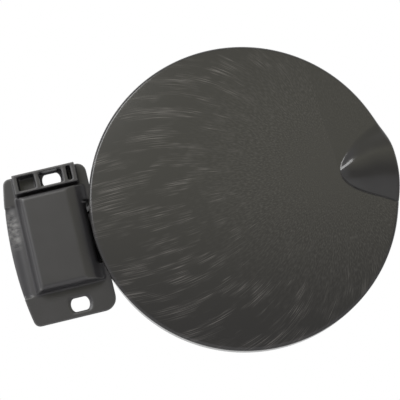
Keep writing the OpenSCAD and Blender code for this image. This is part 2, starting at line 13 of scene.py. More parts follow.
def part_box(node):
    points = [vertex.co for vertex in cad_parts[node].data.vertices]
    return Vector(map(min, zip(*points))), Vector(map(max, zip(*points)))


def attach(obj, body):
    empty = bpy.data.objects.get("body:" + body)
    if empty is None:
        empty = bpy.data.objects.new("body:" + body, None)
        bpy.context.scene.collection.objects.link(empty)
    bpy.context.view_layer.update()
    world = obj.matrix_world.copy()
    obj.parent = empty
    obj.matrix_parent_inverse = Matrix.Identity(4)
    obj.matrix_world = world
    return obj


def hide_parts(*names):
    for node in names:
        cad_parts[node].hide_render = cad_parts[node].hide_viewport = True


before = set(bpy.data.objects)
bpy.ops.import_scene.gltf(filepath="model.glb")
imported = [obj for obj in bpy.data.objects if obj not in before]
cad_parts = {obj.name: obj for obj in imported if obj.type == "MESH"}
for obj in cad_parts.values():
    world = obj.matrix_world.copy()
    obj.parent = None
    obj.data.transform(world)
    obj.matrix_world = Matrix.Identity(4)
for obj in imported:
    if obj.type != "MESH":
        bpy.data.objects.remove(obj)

MM = 0.001
# Vertices closer than this become one: in a skin built here, and in a copy of a CAD mesh
SKIN_WELD_M = 2e-7
CAD_WELD_M = 2e-6
# A vertex this close to a face of the CAD lies on it
ON_FACE_M = 1e-5
LOG = logging.getLogger("fuel_door")


class Body(Enum):
    """The two bodies that the hinge joins."""

    BRACKET = "bracket"
    DOOR = "door"


# Small helpers


def linear(hex_colour: str) -> tuple[float, float, float, float]:
    """Turn an sRGB hex colour into the linear colour that a shader socket takes.

    Args:
        hex_colour: six hex digits, with or without a leading hash.

    Returns:
        Linear red, green, blue and an alpha of 1.
    """
    digits = hex_colour.lstrip("#")
    srgb = [int(digits[i:i + 2], 16) / 255 for i in (0, 2, 4)]
    return (*[c / 12.92 if c <= 0.04045 else ((c + 0.055) / 1.055) ** 2.4 for c in srgb], 1.0)


def add_node(tree: bpy.types.NodeTree, kind: str, settings: dict | None = None, **sockets) -> bpy.types.Node:
    """Add one shader node with its settings, socket values and links.

    Args:
        tree: the node tree to add to.
        kind: the node's type name.
        settings: properties of the node itself.
        **sockets: input socket names, with _ for a space or in0, in1 for a place, each with a value or an
            output socket to link from.

    Returns:
        The new node.
    """
    node = tree.nodes.new(kind)
    for name, value in (settings or {}).items():
        setattr(node, name, value)
    for name, value in sockets.items():
        place = int(name[2:]) if name[:2] == "in" and name[2:].isdigit() else name.replace("_", " ")
        socket = node.inputs[place]
        if isinstance(value, bpy.types.NodeSocket):
            tree.links.new(value, socket)
        else:
            socket.default_value = value
    return node


def maths(tree: bpy.types.NodeTree, operation: str, first: bpy.types.NodeSocket | float,
          second: bpy.types.NodeSocket | float) -> bpy.types.NodeSocket:
    """Join two values in a maths node.

    Args:
        tree: the node tree to add to.
        operation: what the node does.
        first: first number or socket.
        second: second number or socket.

    Returns:
        The result.
    """
    return add_node(tree, "ShaderNodeMath", {"operation": operation}, in0=first, in1=second).outputs[0]


def ease(tree: bpy.types.NodeTree, value: bpy.types.NodeSocket, start: float, end: float,
         low: float = 0.0, high: float = 1.0) -> bpy.types.NodeSocket:
    """Ease smoothly from low, where the value is start, to high, where it is end.

    Args:
        tree: the node tree to add to.
        value: what is eased.
        start: value at which the ease starts.
        end: value at which it ends; it may be the lower of the two.
        low: result at the start.
        high: result at the end.

    Returns:
        The eased value.
    """
    return add_node(tree, "ShaderNodeMapRange", {"interpolation_type": "SMOOTHSTEP"}, Value=value,
                    From_Min=start, From_Max=end, To_Min=low, To_Max=high).outputs[0]


def blend(tree: bpy.types.NodeTree, share: bpy.types.NodeSocket,
          first: bpy.types.NodeSocket | tuple[float, ...],
          second: bpy.types.NodeSocket | tuple[float, ...]) -> bpy.types.NodeSocket:
    """Mix two colours.

    Args:
        tree: the node tree to add to.
        share: how much of the second colour shows.
        first: first colour or socket.
        second: second colour or socket.

    Returns:
        The mixed colour.
    """
    return add_node(tree, "ShaderNodeMix", {"data_type": "RGBA"}, in0=share, in6=first, in7=second).outputs[2]


def new_material(name: str) -> tuple[bpy.types.Material, bpy.types.NodeTree]:
    """Make an empty node material.

    Args:
        name: the material's name.

    Returns:
        The material and its cleared node tree.
    """
    material = bpy.data.materials.new(name)
    material.use_nodes = True
    material.node_tree.nodes.clear()
    return material, material.node_tree


def finish_surface(tree: bpy.types.NodeTree, shader: bpy.types.Node) -> None:
    """Link a shader to a new material output.

    Args:
        tree: the material's node tree.
        shader: the node whose first output is the surface.
    """
    add_node(tree, "ShaderNodeOutputMaterial", Surface=shader.outputs[0])


def smoothstep(low: float, high: float, value: np.ndarray) -> np.ndarray:
    """Ease from 0 at low to 1 at high, as 3t squared less 2t cubed.

    Args:
        low: where the ease starts.
        high: where it ends.
        value: the numbers to ease.

    Returns:
        The eased numbers.
    """
    t = np.clip((value - low) / (high - low), 0, 1)
    return t * t * (3 - 2 * t)


def soft_max(a: np.ndarray, b: np.ndarray, width: np.ndarray | float) -> np.ndarray:
    """Greater of two heights, with a parabola that joins them where they differ by less than width.

    Args:
        a: first heights.
        b: second heights.
        width: difference over which the join is rounded.

    Returns:
        The joined heights.
    """
    near = np.clip(width - np.abs(a - b), 0, None) / width
    return np.maximum(a, b) + near * near * width / 4


def to_world(points: np.ndarray) -> np.ndarray:
    """Turn drawing points (x, y up, z out of the car) in mm into the shared frame in metres.

    Args:
        points: array whose last axis is x, y, z.

    Returns:
        Points with X as x, Y as minus z and Z as y, in metres.
    """
    return np.stack([points[..., 0], -points[..., 2], points[..., 1]], -1) * MM


def new_object(name: str, data: bpy.types.ID) -> bpy.types.Object:
    """Make an object and link it to the scene.

    Args:
        name: the object's name.
        data: its mesh, light or camera.

    Returns:
        The linked object.
    """
    made = bpy.data.objects.new(name, data)
    bpy.context.scene.collection.objects.link(made)
    return made


def ring_faces(n_rows: int, n_cols: int) -> np.ndarray:
    """Number the quads of a grid whose rows are closed rings.

    Args:
        n_rows: rings of vertices.
        n_cols: vertices in a ring.

    Returns:
        Array of four vertex numbers a quad.
    """
    i, j = np.meshgrid(np.arange(n_rows - 1), np.arange(n_cols), indexing="ij")
    k = (j + 1) % n_cols
    return np.stack([i * n_cols + j, (i + 1) * n_cols + j, (i + 1) * n_cols + k, i * n_cols + k], -1)


def new_piece(name: str, points: np.ndarray, faces: np.ndarray, sharp_deg: float) -> bpy.types.Object:
    """Make a smooth shaded mesh object at the origin, with sharp edges marked by their angle.

    Args:
        name: the piece's name.
        points: vertices in metres, in the shared frame.
        faces: quads as rows of four vertex numbers.
        sharp_deg: edges that bend more than this stay crisp.

    Returns:
        The linked object.
    """
    mesh = bpy.data.meshes.new(name)
    mesh.from_pydata(points.reshape(-1, 3), [], faces.reshape(-1, 4))
    mesh.validate()
    piece = new_object(name, mesh)
    weld(mesh, SKIN_WELD_M)
    shade(mesh, sharp_deg)
    return piece


def copy_node(node: str, ending: str, material: bpy.types.Material) -> bpy.types.Object:
    """Copy a CAD node's mesh, weld it and dress it.

    Args:
        node: the CAD node's name.
        ending: what the copy's name adds to the node's.
        material: finish of the copy.

    Returns:
        The linked object.
    """
    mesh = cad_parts[node].data.copy()
    mesh.name = node + ending
    weld(mesh, CAD_WELD_M)
    mesh.materials.clear()
    mesh.materials.append(material)
    return new_object(mesh.name, mesh)


def weld(mesh: bpy.types.Mesh, distance: float) -> None:
    """Merge doubled vertices and drop faces that shrink to nothing.

    Args:
        mesh: the mesh to weld.
        distance: vertices closer than this become one, in metres.
    """
    work = bmesh.new()
    work.from_mesh(mesh)
    bmesh.ops.remove_doubles(work, verts=work.verts, dist=distance)
    bmesh.ops.dissolve_degenerate(work, edges=work.edges, dist=distance)
    work.to_mesh(mesh)
    work.free()


def shade(mesh: bpy.types.Mesh, sharp_deg: float) -> None:
    """Shade a mesh smooth, but crisp at its sharp edges.

    Args:
        mesh: the mesh to shade.
        sharp_deg: edges that bend more than this stay crisp.
    """
    mesh.shade_smooth()
    mesh.set_sharp_from_angle(angle=math.radians(sharp_deg))


def vertex_places(mesh: bpy.types.Mesh) -> np.ndarray:
    """Read a mesh's vertices.

    Args:
        mesh: the mesh to read.

    Returns:
        Rows of X, Y and Z in metres.
    """
    places = np.empty(len(mesh.vertices) * 3)
    mesh.vertices.foreach_get("co", places)
    return places.reshape(-1, 3)


def move_vertices(mesh: bpy.types.Mesh, places: np.ndarray) -> None:
    """Write a mesh's vertices back.

    Args:
        mesh: the mesh to change.
        places: rows of X, Y and Z in metres.
    """
    mesh.vertices.foreach_set("co", places.ravel())
    mesh.update()


def dress(node: str, material: bpy.types.Material) -> None:
    """Put a material on every slot of a CAD node.

    Args:
        node: the CAD node's name.
        material: the finish it gets.
    """
    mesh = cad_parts[node].data
    mesh.materials.clear()
    mesh.materials.append(material)


# Finishes


@dataclass(frozen=True)
class FlakedPolymer:
    """PC and ABS blend, moulded in charcoal with fine silver flake; the flow leaves pale streaks."""

    name: str = "moulded charcoal PC-ABS with silver flake"
    body_hex: str = "#363535"
    flake_hex: str = "#85817e"
    roughness: float = 0.19
    polish: float = 0.03
    gate_mm: tuple[float, float] = (50.6, 2.5)
    bend_mm: float = 115.0
    streak_scale: tuple[float, float, float] = (5.0, 250.0, 1.0)
    cluster_scale: tuple[float, float, float] = (4.5, 11.0, 1.0)
    streaks_from_mm: tuple[float, float] = (40.0, 90.0)
    faint_streaks: float = 0.25
    dash_scale: tuple[float, float, float] = (25.0, 75.0, 1.0)
    dashes_end_mm: tuple[float, float] = (95.0, 35.0)
    faint_dashes: float = 0.2

    def flow(self, tree: bpy.types.NodeTree,
             centre_mm: np.ndarray) -> tuple[bpy.types.NodeSocket, bpy.types.NodeSocket]:
        """Lay coordinates along the melt's flow, whose lines fan out from the gate and curve.

        Along a line runs the logarithm of the distance from the gate. Across the lines runs the angle about the
        gate, times e to a third of the cube of the distance over bend_mm.

        Args:
            tree: the material's node tree.
            centre_mm: X and Z of the door's centre.

        Returns:
            The coordinates, and the distance from the gate.
        """
        place = add_node(tree, "ShaderNodeTexCoord")
        split = add_node(tree, "ShaderNodeSeparateXYZ", in0=place.outputs["Object"])
        gate_x, gate_z = (centre_mm + self.gate_mm) * MM
        left = maths(tree, "SUBTRACT", gate_x, split.outputs["X"])
        up = maths(tree, "SUBTRACT", split.outputs["Z"], gate_z)
        flat = add_node(tree, "ShaderNodeCombineXYZ", X=left, Y=up)
        away = add_node(tree, "ShaderNodeVectorMath", {"operation": "LENGTH"}, in0=flat.outputs[0])
        reach = away.outputs["Value"]
        cube = maths(tree, "POWER", maths(tree, "DIVIDE", reach, self.bend_mm * MM), 3.0)
        grow = maths(tree, "POWER", math.e, maths(tree, "DIVIDE", cube, 3.0))
        line = maths(tree, "MULTIPLY", maths(tree, "ARCTAN2", up, left), grow)
        flow = add_node(tree, "ShaderNodeCombineXYZ", X=maths(tree, "LOGARITHM", reach, math.e), Y=line)
        return flow.outputs[0], reach

    def noise(self, tree: bpy.types.NodeTree, flow: bpy.types.NodeSocket, scale: tuple[float, float, float],
              detail: float = 1.0, roughness: float = 0.5) -> bpy.types.NodeSocket:
        """Draw noise that is stretched along the flow.

        Args:
            tree: the material's node tree.
            flow: coordinates along the flow.
            scale: scale along the flow, across it and through it.
            detail: octaves of the noise.
            roughness: weight of the finer octaves.

        Returns:
            The noise.
        """
        stretched = add_node(tree, "ShaderNodeMapping", Vector=flow, Scale=scale)
        return add_node(tree, "ShaderNodeTexNoise", {"noise_dimensions": "2D"}, Vector=stretched.outputs[0],
                        Scale=1.0, Detail=detail, Roughness=roughness).outputs["Fac"]

    def build(self, centre_mm: np.ndarray) -> bpy.types.Material:
        """Build the streaked satin plastic; its streaks follow the melt's flow from the gate.

        Args:
            centre_mm: X and Z of the door's centre, which the gate is measured from.

        Returns:
            The material.
        """
        material, tree = new_material(self.name)
        flow, reach = self.flow(tree, centre_mm)

        # Streaks 0.2 to 0.4 mm wide and 10 to 20 mm long; at 100 mm from the gate one radian is 100 mm
        streak = self.noise(tree, flow, self.streak_scale)
        cluster = self.noise(tree, flow, self.cluster_scale, 2.0, 0.6)
        sharp = add_node(tree, "ShaderNodeMapRange", Value=streak, From_Min=0.5, From_Max=0.85)
        where = add_node(tree, "ShaderNodeMapRange", Value=cluster, From_Min=0.46, From_Max=0.72)
        first, last = self.streaks_from_mm
        far = ease(tree, reach, first * MM, last * MM, self.faint_streaks)
        drawn = maths(tree, "MULTIPLY", where.outputs[0], far)
        lines = maths(tree, "MULTIPLY", sharp.outputs[0], drawn)

        # Near the gate the melt still tumbles: dashes 0.8 mm wide and 2.4 mm long, much fainter
        grain = self.noise(tree, flow, self.dash_scale)
        speck = add_node(tree, "ShaderNodeMapRange", Value=grain, From_Min=0.4, From_Max=0.9,
                         To_Max=self.faint_dashes)
        last, first = self.dashes_end_mm
        near = ease(tree, reach, last * MM, first * MM)
        mark = maths(tree, "MAXIMUM", lines, maths(tree, "MULTIPLY", speck.outputs[0], near))

        # The pull was polished in the mould and shows no flake
        pull = add_node(tree, "ShaderNodeAttribute", {"attribute_name": "pull"}).outputs["Fac"]
        seen = maths(tree, "MULTIPLY", mark, maths(tree, "SUBTRACT", 1.0, pull))
        tint = blend(tree, seen, linear(self.body_hex), linear(self.flake_hex))
        satin = add_node(tree, "ShaderNodeMapRange", Value=pull, To_Min=self.roughness,
                         To_Max=self.roughness - self.polish)
        shader = add_node(tree, "ShaderNodeBsdfPrincipled", Base_Color=tint,
                          Roughness=satin.outputs[0], IOR=1.5)
        finish_surface(tree, shader)
        return material


@dataclass(frozen=True)
class GlassFilledNylon:
    """Glass filled polyamide as moulded: satin, with a faint cloudy tone and a fine spark eroded grain."""

    name: str
    body_hex: str
    pale_hex: str
    roughness: float = 0.4
    grain_mm: float = 0.35
    # Painted reflection: a paler patch where the rolled edge would mirror the lamp on its left
    sheen_patch_at_mm: tuple[float, float] | None = None
    sheen_patch_reach_mm: tuple[float, float] = (5.0, 14.0)
    sheen_hex: str = "#8b8a88"
    sheen_stroke_lean_deg: float = -20.0
    # Painted highlight on convex corners, picked out by pointiness
    painted_edge_glint: float = 0.0
    glint_pointiness_from: float = 0.505
    glint_pointiness_full: float = 0.56

    def build(self) -> bpy.types.Material:
        """Build the satin nylon.

        Returns:
            The material.
        """
        material, tree = new_material(self.name)
        place = add_node(tree, "ShaderNodeTexCoord")
        cloud = add_node(tree, "ShaderNodeTexNoise", Vector=place.outputs["Object"], Scale=90.0, Detail=3.0)
        colour = blend(tree, cloud.outputs["Fac"], linear(self.body_hex), linear(self.pale_hex))
        # Painted reflection patch on the rolled edge
        if self.sheen_patch_at_mm is not None:
            colour = self.painted_sheen_patch(tree, place, colour)
        if self.painted_edge_glint:
            # Painted highlight: convex corners are painted paler where their rounding would catch the key lamp
            form = add_node(tree, "ShaderNodeNewGeometry")
            edge_highlight = add_node(tree, "ShaderNodeMapRange", Value=form.outputs["Pointiness"],
                              From_Min=self.glint_pointiness_from, From_Max=self.glint_pointiness_full, To_Max=self.painted_edge_glint)
            colour = blend(tree, edge_highlight.outputs[0], colour, linear(self.sheen_hex))
        rough = add_node(tree, "ShaderNodeMapRange", Value=cloud.outputs["Fac"],
                         To_Min=self.roughness - 0.05, To_Max=self.roughness + 0.05)
        grain = add_node(tree, "ShaderNodeTexNoise", Vector=place.outputs["Object"],
                         Scale=1 / (self.grain_mm * MM), Detail=1.0)
        bump = add_node(tree, "ShaderNodeBump", Height=grain.outputs["Fac"], Strength=0.06, Distance=0.0002)
        shader = add_node(tree, "ShaderNodeBsdfPrincipled", Base_Color=colour,
                          Roughness=rough.outputs[0], IOR=1.53, Normal=bump.outputs[0])
        finish_surface(tree, shader)
        return material

    def painted_sheen_patch(self, tree: bpy.types.NodeTree, place: bpy.types.Node,
                colour: bpy.types.NodeSocket) -> bpy.types.NodeSocket:
        """Paint a paler patch that stands in for the key lamp's reflection on the rolled edge, in short strokes
        across the moulding's edge.

        Args:
            tree: the material's node tree.
            place: the texture coordinates.
            colour: colour of the plastic without the painted reflection.

        Returns:
            The colour with the painted reflection patch.
        """
        middle = (self.sheen_patch_at_mm[0] * MM, 0.0, self.sheen_patch_at_mm[1] * MM)
        spread = (1 / (self.sheen_patch_reach_mm[0] * MM), 0.0, 1 / (self.sheen_patch_reach_mm[1] * MM))
        offset = add_node(tree, "ShaderNodeVectorMath", {"operation": "SUBTRACT"},
                          in0=place.outputs["Object"], in1=middle)
        scaled = add_node(tree, "ShaderNodeVectorMath", {"operation": "MULTIPLY"},
                          in0=offset.outputs[0], in1=spread)
        away = add_node(tree, "ShaderNodeVectorMath", {"operation": "LENGTH"}, in0=scaled.outputs[0])
        patch = ease(tree, away.outputs["Value"], 1.1, 0.3)
        # Painted reflection spots 2 mm wide and 5 mm long, broken up down to 0.5 mm
        drawn = add_node(tree, "ShaderNodeMapping", Vector=place.outputs["Object"],
                         Rotation=(0.0, math.radians(self.sheen_stroke_lean_deg), 0.0), Scale=(200.0, 200.0, 480.0))
        stroke = add_node(tree, "ShaderNodeTexNoise", Vector=drawn.outputs[0], Scale=1.0, Detail=3.0,
                          Roughness=0.65)
        sheen_strokes = add_node(tree, "ShaderNodeMapRange", Value=stroke.outputs["Fac"], From_Min=0.38, From_Max=0.75)
        share = maths(tree, "MULTIPLY", patch, sheen_strokes.outputs[0])
        return blend(tree, share, colour, linear(self.sheen_hex))


@dataclass(frozen=True)
class Acetal:
    """Natural acetal, turned or moulded: milky off-white with a waxy sheen."""

    name: str = "natural acetal"
    body_hex: str = "#dad8cf"

    def build(self) -> bpy.types.Material:
        """Build the waxy bush plastic.

        Returns:
            The material.
        """
        material, tree = new_material(self.name)
        place = add_node(tree, "ShaderNodeTexCoord")
        cloud = add_node(tree, "ShaderNodeTexNoise", Vector=place.outputs["Object"], Scale=400.0)
        rough = add_node(tree, "ShaderNodeMapRange", Value=cloud.outputs["Fac"], To_Min=0.3, To_Max=0.42)
        shader = add_node(tree, "ShaderNodeBsdfPrincipled", Base_Color=linear(self.body_hex),
                          Roughness=rough.outputs[0], IOR=1.48, Subsurface_Weight=0.15,
                          Subsurface_Scale=0.001)
        finish_surface(tree, shader)
        return material


@dataclass(frozen=True)
class BareSteel:
    """Steel with a drawn or plated skin: fine lines along one axis, at the spacing given."""

    name: str
    body_hex: str
    roughness: float
    line_mm: float
    stretch: tuple[float, float, float] = (1.0, 1.0, 0.05)

    def build(self) -> bpy.types.Material:
        """Build the lined metal.

        Returns:
            The material.
        """
        material, tree = new_material(self.name)
        place = add_node(tree, "ShaderNodeTexCoord")
        drawn = add_node(tree, "ShaderNodeMapping", Vector=place.outputs["Object"], Scale=self.stretch)
        lines = add_node(tree, "ShaderNodeTexNoise", Vector=drawn.outputs[0],
                         Scale=1 / (self.line_mm * MM), Detail=2.0)
        rough = add_node(tree, "ShaderNodeMapRange", Value=lines.outputs["Fac"],
                         To_Min=self.roughness - 0.08, To_Max=self.roughness + 0.12)
        shader = add_node(tree, "ShaderNodeBsdfPrincipled", Base_Color=linear(self.body_hex),
                          Roughness=rough.outputs[0], Metallic=1.0)
        finish_surface(tree, shader)
        return material


@dataclass(frozen=True)
class Rubber:
    """EPDM rubber, compression moulded: near black, dull, with a dusty bloom."""

    name: str = "moulded EPDM rubber"
    body_hex: str = "#1b1b1b"
    bloom_hex: str = "#2b2b2a"

    def build(self) -> bpy.types.Material:
        """Build the dull rubber.

        Returns:
            The material.
        """
        material, tree = new_material(self.name)
        place = add_node(tree, "ShaderNodeTexCoord")
        bloom = add_node(tree, "ShaderNodeTexNoise", Vector=place.outputs["Object"], Scale=500.0, Detail=4.0)
        tint = blend(tree, bloom.outputs["Fac"], linear(self.body_hex), linear(self.bloom_hex))
        shader = add_node(tree, "ShaderNodeBsdfPrincipled", Base_Color=tint, Roughness=0.75, IOR=1.52)
        finish_surface(tree, shader)
        return material


# Door


@dataclass
class DoorSkin:
    """Outer panel of the door: dome, rounded rim, skirt, raised finger pull and the pocket behind its lip.

    Sizes are in mm, and heights are above the back of the flange.
    """

    radius: float = 82.5
    dome_rise: float = 5.0
    skin: float = 2.5
    rim_z: float = 14.0
    skirt_z: float = 4.0
    rim_round: float = 1.8
    pull_len: float = 30.0
    pull_rise: float = 6.5
    low_r: float = 31.0
    low_r_grow: float = 1.05
    ridge_up: float = 4.5
    ridge_from: float = -4.0
    ridge_run: float = 22.0
    upper_width: float = 19.0
    nose: float = 1.0
    nose_sharp: float = 1.2
    nose_fades: tuple[float, float] = (4.0, 18.0)
    tip_room: float = 2.0
    off_pull: float = -5.0
    top_in: float = 3.0
    lip_out: float = 0.8
    pocket_r: float = 20.0
    pocket_out: float = 6.5
    pocket_wall: float = 2.0
    wall_z: float = 8.0
    crisp_join: float = 0.2
    crease_depth: float = 0.5
    crease_half: float = 0.4
    crease_fades: tuple[float, float] = (-1.0, -4.0)
    slope_limits: tuple[float, float] = (0.05, 1.0)
    polish_fades: float = 0.3
    lip_from_deg: float = 21.0
    lip_full_deg: float = 4.0
    lip_min: float = 0.6
    roof_max: float = 9.0
    columns: int = 520
    fine_deg: tuple[float, float] = (14.0, 22.0)
    fine_times: float = 10.0
    sharp_deg: float = 40.0
    piece: bpy.types.Object | None = field(default=None, init=False)

    def __post_init__(self) -> None:
        """Work out the dome's and the pull's radii and the door's centre from the frame."""
        low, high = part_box("door_panel")
        self.centre = np.array([low.x / MM + self.radius, (low.z + high.z) / 2 / MM])
        self.dome_r = (self.radius ** 2 + self.dome_rise ** 2) / (2 * self.dome_rise)
        self.dome_cz = self.rim_z + self.dome_rise - self.dome_r
        self.top_x = self.radius - self.top_in
        self.tip_x = self.radius - self.pull_len
        rise = self.rim_z + self.pull_rise - self.dome(np.array(self.tip_x), 0.0)
        self.crest_r = ((self.top_x - self.tip_x) ** 2 + rise ** 2) / (2 * rise)

    def dome(self, r: np.ndarray, inset: float) -> np.ndarray:
        """Height of the dome: a sphere about a point far behind the door, made smaller by inset.

        Args:
            r: distance from the door's centre.
            inset: depth below the outer face.

        Returns:
            Height above the back of the flange.
        """
        return self.dome_cz + np.sqrt((self.dome_r - inset) ** 2 - r ** 2)

    def lift(self, x: np.ndarray, y: np.ndarray) -> np.ndarray:
        """Height of the pull over the dome.

        Its crest is an arc from the tip to the rim, over a ridge line that drifts up from the tip. Below the
        ridge the section is an arc whose radius grows from the tip, and it meets the dome in a line. Above the
        ridge it is half a cosine wave whose width grows with the root of the distance from the tip. Near the
        tip the height gains nose times (1 less e to the minus height over nose_sharp), so the tip is steeper.

        Args:
            x: distance from the door's centre towards the free edge.
            y: distance up from it.

        Returns:
            Positive on the pull, negative past the line where it meets the dome.
        """
        run = x - self.tip_x
        side = y - self.ridge_up * smoothstep(self.ridge_from, self.ridge_run, run)
        crest = self.rim_z + self.pull_rise - self.crest_r + np.sqrt(self.crest_r ** 2 - (x - self.top_x) ** 2)
        high = crest - self.dome(np.minimum(np.hypot(x, y), self.radius), 0.0)
        arc = self.low_r + self.low_r_grow * np.clip(run, 0, None)
        low = high - arc + np.sqrt(arc ** 2 - np.clip(side, -arc, 0) ** 2)
        width = self.upper_width * np.sqrt(np.clip(run, 0.01, None) / (self.top_x - self.tip_x))
        wave = (1 + np.cos(np.pi * np.clip(side / width, 0, 1))) / 2
        lift = np.where(side < 0, low, np.minimum(high * wave, high))
        lift = np.where(run < -self.tip_room, self.off_pull, lift)
        nose = self.nose * (1 - smoothstep(*self.nose_fades, run))
        return lift + nose * (1 - np.exp(-np.clip(lift, 0, None) / self.nose_sharp))

    def height(self, x: np.ndarray, y: np.ndarray, inset: float = 0.0) -> np.ndarray:
        """Height of the skin: the dome with the pull on it and the fine crease below the pull.

        Args:
            x: distance from the door's centre towards the free edge.
            y: distance up from it.
            inset: depth below the outer face.

        Returns:
            Height above the back of the flange.
        """
        joined = soft_max(np.zeros_like(x), self.lift(x, y), self.crisp_join)
        crease = self.crease(x, y) if inset == 0 else 0.0
        return self.dome(np.hypot(x, y), inset) + joined - crease

    def crease(self, x: np.ndarray, y: np.ndarray) -> np.ndarray:
        """Depth of the fine crease below the pull: a bell curve across the line where it meets the dome.

        Args:
            x: distance from the door's centre towards the free edge.
            y: distance up from it.

        Returns:
            Depth to take off the skin.
        """
        gap, step = self.lift(x, y), 0.05
        slope = np.hypot(self.lift(x + step, y) - gap, self.lift(x, y + step) - gap) / step
        across = gap / (np.clip(slope, *self.slope_limits) * self.crease_half)
        return self.crease_depth * np.exp(-across ** 2) * smoothstep(*self.crease_fades, y)

    def angles(self) -> np.ndarray:
        """Spread the grid's columns round the door, fine_times closer together across the pull.

        Returns:
            Angle of each column.
        """
        fine = np.linspace(-np.pi, np.pi, 7201)
        inner, outer = np.radians(self.fine_deg)
        density = 1 + (self.fine_times - 1) * (1 - smoothstep(inner, outer, np.abs(fine)))
        total = np.concatenate([[0], np.cumsum((density[1:] + density[:-1]) / 2)])
        return np.interp(np.linspace(0, total[-1], self.columns + 1)[:-1], total, fine)

    def inner_reach(self, angle: np.ndarray, r: float, limit: float) -> np.ndarray:
        """Distance from the door's centre to a circle about the pocket's centre, or to the rim.

        Args:
            angle: directions from the door's centre.
            r: radius of the circle.
            limit: distance of the rim.

        Returns:
            The nearer crossing of each direction with the circle, at most limit.
        """
        pocket = self.radius + self.pocket_out
        under = r ** 2 - (pocket * np.sin(angle)) ** 2
        crossing = pocket * np.cos(angle) - np.sqrt(np.clip(under, 0, None))
        hit = (under > 0) & (np.cos(angle) > 0)
        return np.where(hit, np.minimum(crossing, limit), limit)

    def build(self, material: bpy.types.Material) -> bpy.types.Object:
        """Build the closed skin: each column runs from the dome's middle over the rim, down the skirt and back.

        Args:
            material: finish of the panel.

        Returns:
            The piece, which stands for the CAD panel.
        """
        a = self.angles()
        cos, sin = np.cos(a), np.sin(a)
        bulge = smoothstep(math.radians(self.lip_from_deg), math.radians(self.lip_full_deg), np.abs(a))
        edge = self.radius + self.lip_out * bulge
        shoulder = edge - self.rim_round
        wall = self.inner_reach(a, self.pocket_r, math.inf)
        in_pocket = wall < edge
        wall = np.where(in_pocket, wall, edge)
        back = self.inner_reach(a, self.pocket_r + self.pocket_wall, self.radius - self.skin)
        foot = np.where(in_pocket, self.wall_z, self.skirt_z)

        def surface(r: np.ndarray, inset: float) -> np.ndarray:
            """Height of the skin at distance r along each column."""
            return self.height(r * cos, r * sin, inset)

        rows_r, rows_z = [], []

        def row(r: np.ndarray, z: np.ndarray) -> None:
            """Add one ring of vertices at distances r and heights z."""
            rows_r.append(np.broadcast_to(r, a.shape))
            rows_z.append(np.broadcast_to(z, a.shape))

        # Over the face: wide rings in the middle, narrow ones round the pull's tip, even ones to the shoulder
        tip = (self.tip_x - 1) / self.radius
        share = np.concatenate([np.linspace(0, tip, 10)[:-1], np.linspace(tip, tip + 0.12, 40)[:-1],
                                np.linspace(tip + 0.12, 1, 76)])
        for s in share:
            row(s * shoulder, surface(s * shoulder, 0.0))
        top = rows_z[-1]
        for turn in np.radians([15, 30, 45, 60, 75, 90]):
            row(shoulder + self.rim_round * np.sin(turn), top - self.rim_round * (1 - np.cos(turn)))
        # Down the edge, in under the pocket's roof, down its wall and up behind it, then back under the face
        rim = rows_z[-1]
        lip_z = np.where(in_pocket, surface(edge, self.skin), self.skirt_z)
        lip_z = np.minimum(lip_z, rim - self.lip_min)
        for s in np.linspace(0, 1, 5)[1:]:
            row(edge, rim * (1 - s) + lip_z * s)
        for s in np.linspace(0, 1, 9)[1:]:
            r = edge * (1 - s) + wall * s
            row(r, np.where(in_pocket, np.minimum(surface(r, self.skin), lip_z + self.roof_max), lip_z))
        roof = rows_z[-1]
        for s in np.linspace(0, 1, 4)[1:]:
            row(wall, roof * (1 - s) + foot * s)
        row(back, foot)
        ceiling = surface(back, self.skin)
        for s in np.linspace(0, 1, 4)[1:]:
            row(back, foot * (1 - s) + ceiling * s)
        for s in np.linspace(1, 0, 22)[1:]:
            row(s * back, surface(s * back, self.skin))

        r, z = np.array(rows_r), np.array(rows_z)
        local = np.stack([r * cos + self.centre[0], r * sin + self.centre[1], z], -1)
        points = to_world(local)
        piece = new_piece("door_skin", points, ring_faces(*r.shape), self.sharp_deg)
        self.mark_pull(piece.data)
        piece.data.materials.append(material)
        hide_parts("door_panel")
        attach(piece, Body.DOOR.value)
        self.piece = piece
        return piece

    def mark_pull(self, mesh: bpy.types.Mesh) -> None:
        """Store how far each vertex lies on the pull: 1 where it stands clear of the dome, 0 on the dome.

        Args:
            mesh: the skin's mesh.
        """
        places = vertex_places(mesh) / MM
        x, y = places[:, 0] - self.centre[0], places[:, 2] - self.centre[1]
        value = smoothstep(-self.polish_fades, self.polish_fades, self.lift(x, y))
        mesh.attributes.new("pull", "FLOAT", "POINT").data.foreach_set("value", value)


# Mouldings that keep the CAD form


